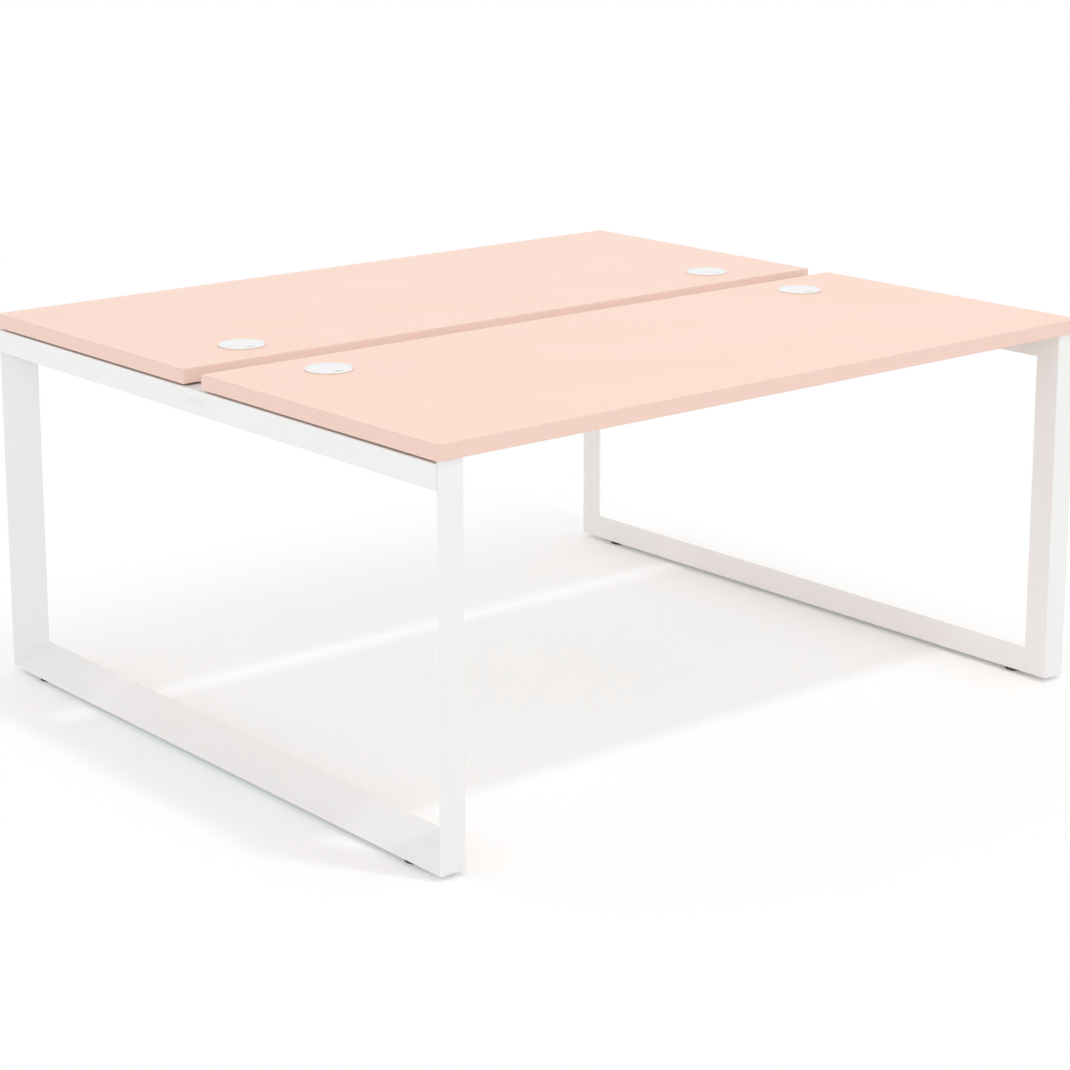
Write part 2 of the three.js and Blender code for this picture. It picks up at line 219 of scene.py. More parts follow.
def new_tree(
    name: str,
    kind: str,
    inputs: Sequence[tuple[str, str, Any]],
    outputs: Sequence[tuple[str, str]],
) -> tuple[NodeTree, Node, Node]:
    """Starts a node group with named inputs and outputs.

    Args:
        name: the group's name.
        kind: the tree's type name.
        inputs: name, socket type and first value of each input.
        outputs: name and socket type of each output.

    Returns:
        The tree, its input node and its output node.
    """
    tree = bpy.data.node_groups.new(name, kind)
    for label, socket, value in inputs:
        made = tree.interface.new_socket(name=label, in_out="INPUT", socket_type=socket)
        if value is not None:
            made.default_value = value
    for label, socket in outputs:
        tree.interface.new_socket(name=label, in_out="OUTPUT", socket_type=socket)
    return tree, tree.nodes.new("NodeGroupInput"), tree.nodes.new("NodeGroupOutput")


# Shared surface effects


class SurfaceEffects:
    """The shader groups that several finishes share."""

    CLOUD_ROUGHNESS: float = 0.55
    SWELL_SCALE: float = 0.4
    SWELL_DETAIL: float = 2.0
    SWELL_SHARE: float = 0.6
    LINE_DETAIL: float = 3.0
    PATCH_DETAIL: float = 5.0
    PATCH_RANGE: Span = (0.35, 0.75)

    def __init__(self) -> None:
        """Builds each group once."""
        self.cloud = self._build_cloud()
        self.pebble = self._build_pebble()
        self.drawn = self._build_drawn()
        self.dust = self._build_dust()

    @staticmethod
    def _start(
        name: str, inputs: Sequence[tuple[str, float]], output: str
    ) -> tuple[NodeTree, Any, NodeSocket, NodeSocket]:
        """Starts a group of plain values that reads Object coordinates.

        Args:
            name: the group's name.
            inputs: name and first value of each input.
            output: the name of its one output.

        Returns:
            The tree, its given values by name, its result's socket and the coordinates' socket.
        """
        sockets = [(label, "NodeSocketFloat", value) for label, value in inputs]
        tree, start, end = new_tree(name, "ShaderNodeTree", sockets, [(output, "NodeSocketFloat")])
        return tree, start.outputs, end.inputs[0], put(tree, "ShaderNodeTexCoord").outputs["Object"]

    def _build_cloud(self) -> NodeTree:
        """A slow, cloudy change of tone over the surface, as a value round a half."""
        inputs = [("Scale", 8.0), ("Detail", 4.0)]
        tree, given, result, place = self._start("cloudy_tone", inputs, "Tone")
        cloud = noise(tree, place, given["Scale"], given["Detail"], self.CLOUD_ROUGHNESS)
        tree.links.new(cloud, result)
        return tree

    def _build_pebble(self) -> NodeTree:
        """Fine pebbled relief, as on pressed, sprayed and moulded skins."""
        inputs = [("Scale", 900.0), ("Softness", 0.5)]
        tree, given, result, place = self._start("pebbled_relief", inputs, "Height")
        cells = put(tree, "ShaderNodeTexVoronoi", {
            "Vector": place,
            "Scale": given["Scale"],
            "Smoothness": given["Softness"],
        }, feature="SMOOTH_F1")
        dome = sums(tree, "SUBTRACT", 1.0, cells.outputs["Distance"])
        swell_scale = sums(tree, "MULTIPLY", given["Scale"], self.SWELL_SCALE)
        swell = noise(tree, place, swell_scale, self.SWELL_DETAIL)
        tree.links.new(sums(tree, "MULTIPLY_ADD", swell, self.SWELL_SHARE, dome), result)
        return tree

    def _build_drawn(self) -> NodeTree:
        """Fine level lines, as a drawn or extruded strip has along its length."""
        inputs = [("Along", 3.0), ("Across", 900.0)]
        tree, given, result, place = self._start("drawn_lines", inputs, "Line")
        stretch = put(tree, "ShaderNodeCombineXYZ", {
            "X": given["Along"],
            "Y": given["Along"],
            "Z": given["Across"],
        })
        drawn = vectors(tree, "MULTIPLY", place, stretch.outputs[0])
        tree.links.new(noise(tree, drawn, 1.0, self.LINE_DETAIL), result)
        return tree

    def _build_dust(self) -> NodeTree:
        """Patchy dust that thins out with height above the floor, as a mask."""
        inputs = [("Reach", 0.03), ("Scale", 300.0)]
        tree, given, result, place = self._start("floor_dust", inputs, "Mask")
        low = ramp(tree, split(tree, place)[2], (0.0, given["Reach"]), (1.0, 0.0))
        patchy = ramp(tree, noise(tree, place, given["Scale"], self.PATCH_DETAIL), self.PATCH_RANGE)
        tree.links.new(sums(tree, "MULTIPLY", low, patchy), result)
        return tree


# Finishes


@dataclass(frozen=True)
class Finish:
    """A skin of two near tones with a cloudy roughness and a fine pebbled relief."""

    name: str
    tone: Colour
    second_tone: Colour
    roughness: Span = (0.4, 0.5)
    cloud_scale: float = 6.0
    cloud_detail: float = 4.0
    cloud_range: Span = (0.25, 0.75)
    relief_scale: float = 900.0
    relief_softness: float = 0.5
    relief_depth: float = 0.05 * MM
    relief_strength: float = 0.3
    metallic: float = 0.0
    specular: float = 0.5

    def material(self, effects: SurfaceEffects) -> Material:
        """Builds the finish as a material.

        Args:
            effects: the shared shader groups.

        Returns:
            The material.
        """
        material = bpy.data.materials.new(self.name)
        tree = cleared(material)
        bump = put(tree, "ShaderNodeBump", {
            "Strength": self.relief_strength,
            "Distance": self.relief_depth,
            "Height": self.relief(tree, effects),
        })
        shader = put(tree, "ShaderNodeBsdfPrincipled", {
            "Base Color": self.colour(tree, effects),
            "Roughness": self.gloss(tree, effects),
            "Metallic": self.metallic,
            "Specular IOR Level": self.specular,
            "Normal": bump.outputs[0],
        })
        put(tree, "ShaderNodeOutputMaterial", {0: shader.outputs[0]})
        return material

    def colour(self, tree: NodeTree, effects: SurfaceEffects) -> NodeSocket:
        """The base colour: the two tones, mixed by the cloud."""
        return mixed(tree, self.cloud(tree, effects), self.tone, self.second_tone)

    def gloss(self, tree: NodeTree, effects: SurfaceEffects) -> NodeSocket:
        """The roughness, which follows the cloud."""
        return ramp(tree, self.cloud(tree, effects), self.cloud_range, self.roughness)

    def relief(self, tree: NodeTree, effects: SurfaceEffects) -> NodeSocket:
        """The height that the bump takes: fine pebbles."""
        return grouped(tree, effects.pebble, Scale=self.relief_scale, Softness=self.relief_softness)

    def cloud(self, tree: NodeTree, effects: SurfaceEffects) -> NodeSocket:
        """The cloudy value over this finish."""
        return grouped(tree, effects.cloud, Scale=self.cloud_scale, Detail=self.cloud_detail)


@dataclass(frozen=True)
class DrawnStrip(Finish):
    """An extruded strip: its relief and part of its tone run in fine lines along it."""

    along: float = 3.0
    across: float = 1400.0

    def colour(self, tree: NodeTree, effects: SurfaceEffects) -> NodeSocket:
        """The two tones, mixed half by the cloud and half by the lines."""
        share = sums(tree, "ADD", self.cloud(tree, effects), self.lines(tree, effects))
        return mixed(tree, sums(tree, "MULTIPLY", share, 0.5), self.tone, self.second_tone)

    def relief(self, tree: NodeTree, effects: SurfaceEffects) -> NodeSocket:
        """The lines as a height."""
        return self.lines(tree, effects)

    def lines(self, tree: NodeTree, effects: SurfaceEffects) -> NodeSocket:
        """The value of the fine lines."""
        return grouped(tree, effects.drawn, Along=self.along, Across=self.across)


@dataclass(frozen=True)
class DustyFinish(Finish):
    """A skin that gathers a little dust near the floor."""

    dust_tone: Colour = (0.55, 0.53, 0.5, 1.0)
    dust_reach: float = 0.02
    dust_scale: float = 700.0
    dust_share: float = 0.3

    def colour(self, tree: NodeTree, effects: SurfaceEffects) -> NodeSocket:
        """The two tones, with the dust over them."""
        skin = mixed(tree, self.cloud(tree, effects), self.tone, self.second_tone)
        mask = grouped(tree, effects.dust, Reach=self.dust_reach, Scale=self.dust_scale)
        return mixed(tree, sums(tree, "MULTIPLY", mask, self.dust_share), skin, self.dust_tone)


class Skin(Enum):
    """The desk's finishes."""

    MELAMINE = Finish(
        "peach_melamine", tone=srgb(247, 209, 190), second_tone=srgb(246, 207, 187),
        roughness=(0.29, 0.35), cloud_scale=5.0,
        relief_scale=1100.0, relief_depth=0.02 * MM, relief_strength=0.2,
    )
    EDGE_BAND = DrawnStrip(
        "peach_edge_band", tone=srgb(230, 199, 186), second_tone=srgb(227, 195, 182),
        roughness=(0.46, 0.54), relief_depth=0.03 * MM,
    )
    FRAME_PAINT = DustyFinish(
        "white_powder_coat", tone=srgb(230, 230, 230), second_tone=srgb(228, 228, 227),
        roughness=(0.42, 0.5), cloud_scale=9.0,
        relief_scale=420.0, relief_depth=0.08 * MM, relief_strength=0.2,
        dust_tone=srgb(222, 220, 216), dust_reach=0.03, dust_share=0.25,
    )
    GROMMET_PLASTIC = Finish(
        "white_grommet_plastic", tone=srgb(238, 239, 239), second_tone=srgb(236, 237, 237),
        roughness=(0.34, 0.42), cloud_scale=30.0,
        relief_scale=2400.0, relief_depth=0.02 * MM,
    )
    FOOT_PLASTIC = DustyFinish(
        "black_foot_plastic", tone=srgb(34, 34, 35), second_tone=srgb(42, 42, 43),
        roughness=(0.55, 0.68), cloud_scale=120.0,
        relief_scale=2600.0, relief_depth=0.04 * MM, relief_strength=0.5,
        dust_tone=srgb(120, 116, 110), dust_reach=0.007, dust_share=0.35,
    )
    SPACER_PLASTIC = Finish(
        "black_spacer_plastic", tone=srgb(33, 32, 32), second_tone=srgb(40, 39, 39),
        roughness=(0.6, 0.7), cloud_scale=60.0,
        relief_scale=1800.0, relief_depth=0.05 * MM, relief_strength=0.5,
    )
    ZINC = Finish(
        "zinc_plate", tone=srgb(200, 203, 206), second_tone=srgb(184, 186, 184),
        roughness=(0.28, 0.42), cloud_scale=160.0,
        relief_scale=3000.0, relief_depth=0.02 * MM, relief_strength=0.25, metallic=1.0,
    )
    BADGE_PLASTIC = Finish(
        "pale_badge_plastic", tone=srgb(226, 227, 228), second_tone=srgb(221, 222, 223),
        roughness=(0.38, 0.46), cloud_scale=90.0,
        relief_scale=2600.0, relief_depth=0.02 * MM,
    )


class Paints:
    """The material of each skin, built once."""

    def __init__(self) -> None:
        """Builds the shared effects and every material."""
        effects = SurfaceEffects()
        self._made = {skin: skin.value.material(effects) for skin in Skin}

    def __getitem__(self, skin: Skin) -> Material:
        """The skin's material."""
        return self._made[skin]


# Meshes


def finished_mesh(name: str, shape: bmesh.types.BMesh) -> Mesh:
    """Turns a closed shape into a mesh whose faces point outwards.

    Args:
        name: the mesh's name.
        shape: the shape, which is freed.

    Returns:
        The mesh.
    """
    bmesh.ops.remove_doubles(shape, verts=shape.verts, dist=TINY)
    bmesh.ops.recalc_face_normals(shape, faces=shape.faces)
    mesh = bpy.data.meshes.new(name)
    shape.to_mesh(mesh)
    shape.free()
    return mesh


def linked(mesh: Mesh) -> Object:
    """Puts a mesh in the scene as an object of the same name at the origin.

    Args:
        mesh: the mesh.

    Returns:
        The object.
    """
    piece = bpy.data.objects.new(mesh.name, mesh)
    bpy.context.scene.collection.objects.link(piece)
    return piece


def turned(
    name: str, profile: Sequence[Point], segments: int, centre: Point = (0.0, 0.0), ring: bool = False
) -> Mesh:
    """A turned shape about an upright axis.

    Args:
        name: the mesh's name.
        profile: radius and height of each point, in order.
        segments: flats round the axis.
        centre: where the axis stands.
        ring: whether the profile closes on itself.

    Returns:
        The mesh.
    """
    shape = bmesh.new()
    angles = [2 * math.pi * i / segments for i in range(segments)]
    rows: list[list[bmesh.types.BMVert]] = []
    for radius, height in profile:
        spread = angles if radius > TINY else angles[:1]
        rows.append([
            shape.verts.new((centre[0] + radius * math.cos(a), centre[1] + radius * math.sin(a), height))
            for a in spread
        ])
    pairs = list(zip(rows, rows[1:]))
    if ring:
        pairs.append((rows[-1], rows[0]))
    for low, high in pairs:
        for i in range(segments):
            j = (i + 1) % segments
            corners = [low[i % len(low)], low[j % len(low)], high[j % len(high)], high[i % len(high)]]
            shape.faces.new(list(dict.fromkeys(corners)))
    return finished_mesh(name, shape)


def stacked(name: str, layers: Sequence[Sequence[Place]]) -> Mesh:
    """A closed shape through outlines of as many points each, from the lowest to the highest.

    Args:
        name: the mesh's name.
        layers: the outlines.

    Returns:
        The mesh.
    """
    shape = bmesh.new()
    rows = [[shape.verts.new(point) for point in layer] for layer in layers]
    for low, high in zip(rows, rows[1:]):
        for i in range(len(low)):
            j = (i + 1) % len(low)
            shape.faces.new((low[i], low[j], high[j], high[i]))
    shape.faces.new(list(reversed(rows[0])))
    shape.faces.new(rows[-1])
    return finished_mesh(name, shape)


def levels(plan: Sequence[Point], heights: Sequence[float]) -> list[list[Place]]:
    """One outline repeated at several heights."""
    return [[(u, v, z) for u, v in plan] for z in heights]


def spaced(low: float, high: float, count: int) -> list[float]:
    """Evenly spaced values over a count of equal steps, both ends among them."""
    return [low + (high - low) * i / count for i in range(count + 1)]


def arc(centre: Point, radii: Point, start: float, end: float, steps: int) -> list[Point]:
    """Points on part of an ellipse between two angles in degrees, both ends among them."""
    turns = [math.radians(angle) for angle in spaced(start, end, steps)]
    return [(centre[0] + radii[0] * math.cos(t), centre[1] + radii[1] * math.sin(t)) for t in turns]


def rounded_rectangle(low: Point, high: Point, radius: float, steps: int = 6) -> list[Point]:
    """A rectangle's outline with rounded corners, turning left.

    Args:
        low: its lowest corner.
        high: its highest corner.
        radius: the corners' radius.
        steps: chords in each corner.

    Returns:
        The outline's points.
    """
    x = (low[0] + radius, high[0] - radius)
    y = (low[1] + radius, high[1] - radius)
    corners = [((x[1], y[1]), 0), ((x[0], y[1]), 90), ((x[0], y[0]), 180), ((x[1], y[0]), 270)]
    return [point for at, turn in corners for point in arc(at, (radius, radius), turn, turn + 90, steps)]


def soften(mesh: Mesh, limit: float = SHARP_EDGE) -> None:
    """Shades a mesh smooth, apart from edges sharper than the limit in degrees."""
    mesh.shade_smooth()
    mesh.set_sharp_from_angle(angle=math.radians(limit))


def settle(piece: Object) -> None:
    """Makes what a piece's modifiers give its plain mesh, and removes them."""
    bpy.context.view_layer.update()
    graph = bpy.context.evaluated_depsgraph_get()
    mesh = bpy.data.meshes.new_from_object(piece.evaluated_get(graph), depsgraph=graph)
    mesh.name = piece.data.name
    piece.modifiers.clear()
    piece.data = mesh


def combine(base: Object, other: Mesh, way: Combine) -> None:
    """Joins or cuts a piece with another closed mesh.

    Args:
        base: the piece that is changed.
        other: the mesh that is joined, taken out or kept in common.
        way: which of these.
    """
    tool = linked(other)
    modifier = base.modifiers.new("combine", "BOOLEAN")
    modifier.operation = way.value
    modifier.solver = "EXACT"
    modifier.object = tool
    settle(base)
    bpy.data.objects.remove(tool)


# Geometry Nodes


class ShapeRules:
    """The Geometry Nodes trees that cut, set and lay what repeats or follows a path."""

    def __init__(self) -> None:
        """Builds each tree once."""
        self.wrapped_cut = self._build_wrapped_cut()
        self.set_fixings = self._build_set_fixings()
        self.lay_bead = self._build_lay_bead()

    @staticmethod
    def apply(piece: Object, tree: NodeTree, **values: Any) -> None:
        """Runs a tree on a piece and keeps the result as its plain mesh.

        Args:
            piece: the object.
            tree: the tree.
            values: the tree's inputs by name, with spaces as underscores.
        """
        modifier = piece.modifiers.new(tree.name, "NODES")
        modifier.node_group = tree
        for item in tree.interface.items_tree:
            key = item.name.replace(" ", "_").lower()
            if item.in_out == "INPUT" and key in values:
                modifier[item.identifier] = values[key]
        settle(piece)

    @staticmethod
    def _start(name: str, inputs: Sequence[tuple[str, str, Any]]) -> tuple[NodeTree, Node, Node]:
        """Starts a tree that takes a geometry and a finish and gives a geometry."""
        shape, finish = ("Geometry", "NodeSocketGeometry"), ("Finish", "NodeSocketMaterial", None)
        return new_tree(name, "GeometryNodeTree", [(*shape, None), *inputs, finish], [shape])

    @staticmethod
    def _end(tree: NodeTree, start: Node, end: Node, shape: NodeSocket) -> NodeTree:
        """Realizes the shape, sets its finish and closes the tree.

        Args:
            tree: the tree.
            start: its input node.
            end: its output node.
            shape: the geometry's socket.

        Returns:
            The tree.
        """
        real = put(tree, "GeometryNodeRealizeInstances", {0: shape})
        done = put(tree, "GeometryNodeSetMaterial", {
            "Geometry": real.outputs[0],
            "Material": start.outputs["Finish"],
        })
        tree.links.new(done.outputs[0], end.inputs[0])
        return tree

    def _build_wrapped_cut(self) -> NodeTree:
        """Grooves wrapped round an upright axis: flutes where they don't rise, a thread where they do."""
        floats = ("Turns", "Rise", "Depth", "Low", "High", "Fade", "Inside")
        inputs = [(label, "NodeSocketFloat", 0.0) for label in floats]
        tree, start, end = self._start("wrapped_cut", [("Axis", "NodeSocketVector", None), *inputs])
        given = start.outputs
        place = put(tree, "GeometryNodeInputPosition").outputs[0]
        arm = vectors(tree, "MULTIPLY", vectors(tree, "SUBTRACT", place, given["Axis"]), (1.0, 1.0, 0.0))
        flat = split(tree, arm)
        height = split(tree, place)[2]
        angle = sums(tree, "ARCTAN2", flat[1], flat[0])
        share = sums(tree, "MULTIPLY", sums(tree, "DIVIDE", angle, 2 * math.pi), given["Turns"])
        phase = sums(tree, "MULTIPLY_ADD", height, given["Rise"], share)
        wave = sums(tree, "MULTIPLY", sums(tree, "PINGPONG", phase, 0.5), 2.0)
        rise = ramp(tree, height, (given["Low"], sums(tree, "ADD", given["Low"], given["Fade"])))
        fall = ramp(tree, height, (given["High"], sums(tree, "SUBTRACT", given["High"], given["Fade"])))
        reach = measure(tree, "LENGTH", arm)
        skin = sums(tree, "GREATER_THAN", reach, given["Inside"])
        amount = sums(tree, "MULTIPLY", sums(tree, "MULTIPLY", wave, given["Depth"]), skin)
        amount = sums(tree, "MULTIPLY", amount, sums(tree, "MULTIPLY", rise, fall))
        inward = put(tree, "ShaderNodeVectorMath", {
            0: vectors(tree, "NORMALIZE", arm),
            "Scale": sums(tree, "MULTIPLY", amount, -1.0),
        }, operation="SCALE").outputs[0]
        cut = put(tree, "GeometryNodeSetPosition", {"Geometry": given["Geometry"], "Offset": inward})
        return self._end(tree, start, end, cut.outputs[0])

    def _build_set_fixings(self) -> NodeTree:
        """One fixing set at each point, turned as the point's aim says."""
        tree, start, end = self._start("set_fixings", [("Fixing", "NodeSocketObject", None)])
        source = put(tree, "GeometryNodeObjectInfo", {
            "Object": start.outputs["Fixing"],
            "As Instance": True,
        })
        aim = put(tree, "GeometryNodeInputNamedAttribute", {"Name": "aim"}, data_type="FLOAT_VECTOR")
        spread = put(tree, "GeometryNodeInstanceOnPoints", {
            "Points": start.outputs["Geometry"],
            "Instance": source.outputs["Geometry"],
            "Rotation": aim.outputs["Attribute"],
        })
        return self._end(tree, start, end, spread.outputs[0])

    def _build_lay_bead(self) -> NodeTree:
        """A round bead laid along the lines of a wire mesh."""
        inputs = [("Radius", "NodeSocketFloat", MM), ("Flats", "NodeSocketInt", 8)]
        tree, start, end = self._start("lay_bead", inputs)
        path = put(tree, "GeometryNodeMeshToCurve", {0: start.outputs["Geometry"]})
        section = put(tree, "GeometryNodeCurvePrimitiveCircle", {
            "Resolution": start.outputs["Flats"],
            "Radius": start.outputs["Radius"],
        })
        bead = put(tree, "GeometryNodeCurveToMesh", {
            "Curve": path.outputs[0],
            "Profile Curve": section.outputs[0],
        })
        return self._end(tree, start, end, bead.outputs[0])


# What every sub-assembly does with its pieces


def dress_node(name: str, material: Material) -> None:
    """Gives a kept node of the frame its finish.

    Args:
        name: the node.
        material: its new material.
    """
    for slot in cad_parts[name].material_slots:
        slot.material = material
    log.info("node %s dressed in %s", name, material.name)


def hand_over(
    piece: Object, body: str, material: Material, stands_for: Sequence[str] = ()
) -> None:
    """Gives a piece its finish, its body and the nodes that it stands for.

    Args:
        piece: the object.
        body: the body that it moves with.
        material: its finish.
        stands_for: the nodes that it replaces.
    """
    piece.data.materials.clear()
    piece.data.materials.append(material)
    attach(piece, body)
    if stands_for:
        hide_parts(*stands_for)
    log.info("piece %s rides on %s, %d faces", piece.name, body, len(piece.data.polygons))


def thread_rows(low: float, high: float, step: float) -> list[float]:
    """The heights of a threaded stretch's rows of points, about a step apart."""
    return spaced(low, high, round((high - low) / step))


def axis_of(node: str) -> Point:
    """Where the upright axis of a round node stands."""
    low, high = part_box(node)
    middle = (low + high) / 2
    return (middle.x, middle.y)


# Sub-assemblies


@dataclass
class Worktops:
    """The two boards with the bands round their edges."""

    paints: Paints

    def dress(self) -> None:
        """Dresses the boards and bands."""
        for row in Row:
            dress_node(f"{row.label}_top", self.paints[Skin.MELAMINE])
            dress_node(f"{row.label}_top_edge_band", self.paints[Skin.EDGE_BAND])


@dataclass
class Hoops:
    """The two closed hoops, with the ground weld beads at their corners."""

    paints: Paints
    rules: ShapeRules
    outer_x: float = 799 * MM
    face_y: float = 705 * MM
    floor_gap: float = 9 * MM
    profile: float = 55 * MM
    tip_radius: float = 1 * MM
    heel_radius: float = 2 * MM
    rail_bottom: float = 662.5 * MM
    rail_height: float = 45 * MM
    rail_radius: float = 2 * MM
    rail_end_gap: float = 0.3 * MM
    bead_radius: float = 0.45 * MM
    bead_sink: float = 0.3 * MM
    bead_flats: int = 8
    seam_outline: tuple[Point, ...] = (
        (55.03 * MM, 52.4 * MM),
        (55.03 * MM, 55.9 * MM),
        (54.9 * MM, 56.5 * MM),
        (53.2 * MM, 54.4 * MM),
        (54.9 * MM, 51.8 * MM),
    )
    seam_margin: float = 1.8 * MM

    def dress(self) -> None:
        """Dresses the tubes."""
        for side in Side:
            dress_node(f"{side.label}_hoop_top_rail", self.paints[Skin.FRAME_PAINT])
            dress_node(f"{side.label}_hoop_bottom_rail", self.paints[Skin.FRAME_PAINT])
            for row in Row:
                dress_node(f"{side.label}_hoop_{row.label}_leg", self.paints[Skin.FRAME_PAINT])

    def build(self) -> None:
        """Lays the weld beads and fills the seams."""
        self.lay_beads()
        self.fill_seams()

    def lay_beads(self) -> None:
        """Lays a bead along every joint between tubes."""
        wire = bmesh.new()
        for row, side in QUARTERS:
            for loop in (self.foot_joint(row, side), self.rail_joint(row, side)):
                points = [wire.verts.new(point) for point in loop]
                for first, second in zip(points, points[1:] + points[:1]):
                    wire.edges.new((first, second))
        mesh = bpy.data.meshes.new("hoop_weld_beads")
        wire.to_mesh(mesh)
        wire.free()
        beads = linked(mesh)
        paint, tree = self.paints[Skin.FRAME_PAINT], self.rules.lay_bead
        self.rules.apply(beads, tree, radius=self.bead_radius, flats=self.bead_flats, finish=paint)
        soften(beads.data, SHARP_BEAD)
        hand_over(beads, "desk", paint)

    def fill_seams(self) -> None:
        """Fills the seams on the hoops' inner faces, between top rails and legs, as if ground flush."""
        shape = bmesh.new()
        low = self.rail_bottom + self.seam_margin
        high = self.rail_bottom + self.rail_height - self.seam_margin
        for row, side in QUARTERS:
            ring = [
                (side.value * (self.outer_x - u), row.value * (self.face_y - v))
                for u, v in self.seam_outline
            ]
            strip = stacked("seam_filler", levels(ring, (low, high)))
            shape.from_mesh(strip)
            bpy.data.meshes.remove(strip)
        filler = linked(finished_mesh("hoop_seam_fillers", shape))
        hand_over(filler, "desk", self.paints[Skin.FRAME_PAINT])

    def foot_joint(self, row: Row, side: Side) -> list[Place]:
        """The mitre between a leg and the bottom rail, just under the tubes' skin.

        Args:
            row: the leg's row.
            side: the hoop's side.

        Returns:
            The loop's points.
        """
        slack = self.bead_sink
        reach = self.profile - slack
        corners = [
            (slack * (1 + math.sqrt(2)), slack),
            (reach, slack),
            (reach, reach - slack * math.sqrt(2)),
        ]
        radii = [self.tip_radius, self.heel_radius, self.tip_radius]
        return [
            (side.value * (self.outer_x - u), row.value * (self.face_y - v), self.floor_gap + v)
            for u, v in rounded_triangle(corners, radii)
        ]

    def rail_joint(self, row: Row, side: Side) -> list[Place]:
        """The seam between the top rail's end and a leg's sloped face.

        Args:
            row: the leg's row.
            side: the hoop's side.

        Returns:
            The loop's points.
        """
        slack = self.bead_sink
        outline = rounded_rectangle(
            (slack, slack),
            (self.profile - slack, self.rail_height - slack),
            self.rail_radius,
        )
        middle = self.rail_end_gap / math.sqrt(2)
        x, y = side.value, row.value
        return [
            (x * (self.outer_x - u), y * (self.face_y - u - middle), self.rail_bottom + v)
            for u, v in outline
        ]


def rounded_triangle(corners: Sequence[Point], radii: Sequence[float], steps: int = 5) -> list[Point]:
    """A triangle's outline with each corner rounded.

    Args:
        corners: its three corners, turning left.
        radii: the radius at each.
        steps: chords in each corner.

    Returns:
        The outline's points.
    """
    points: list[Point] = []
    for i, corner in enumerate(corners):
        here = Vector(corner)
        back = (Vector(corners[i - 1]) - here).normalized()
        ahead = (Vector(corners[(i + 1) % 3]) - here).normalized()
        half = back.angle(ahead) / 2
        run = radii[i] / math.tan(half)
        centre = here + (back + ahead).normalized() * (radii[i] / math.sin(half))
        first, last = here + back * run - centre, here + ahead * run - centre
        start = math.atan2(first.y, first.x)
        turn = first.angle_signed(last, 0.0)
        spokes = [start - part for part in spaced(0.0, turn, steps)]
        points += [(centre.x + radii[i] * math.cos(t), centre.y + radii[i] * math.sin(t)) for t in spokes]
    return points


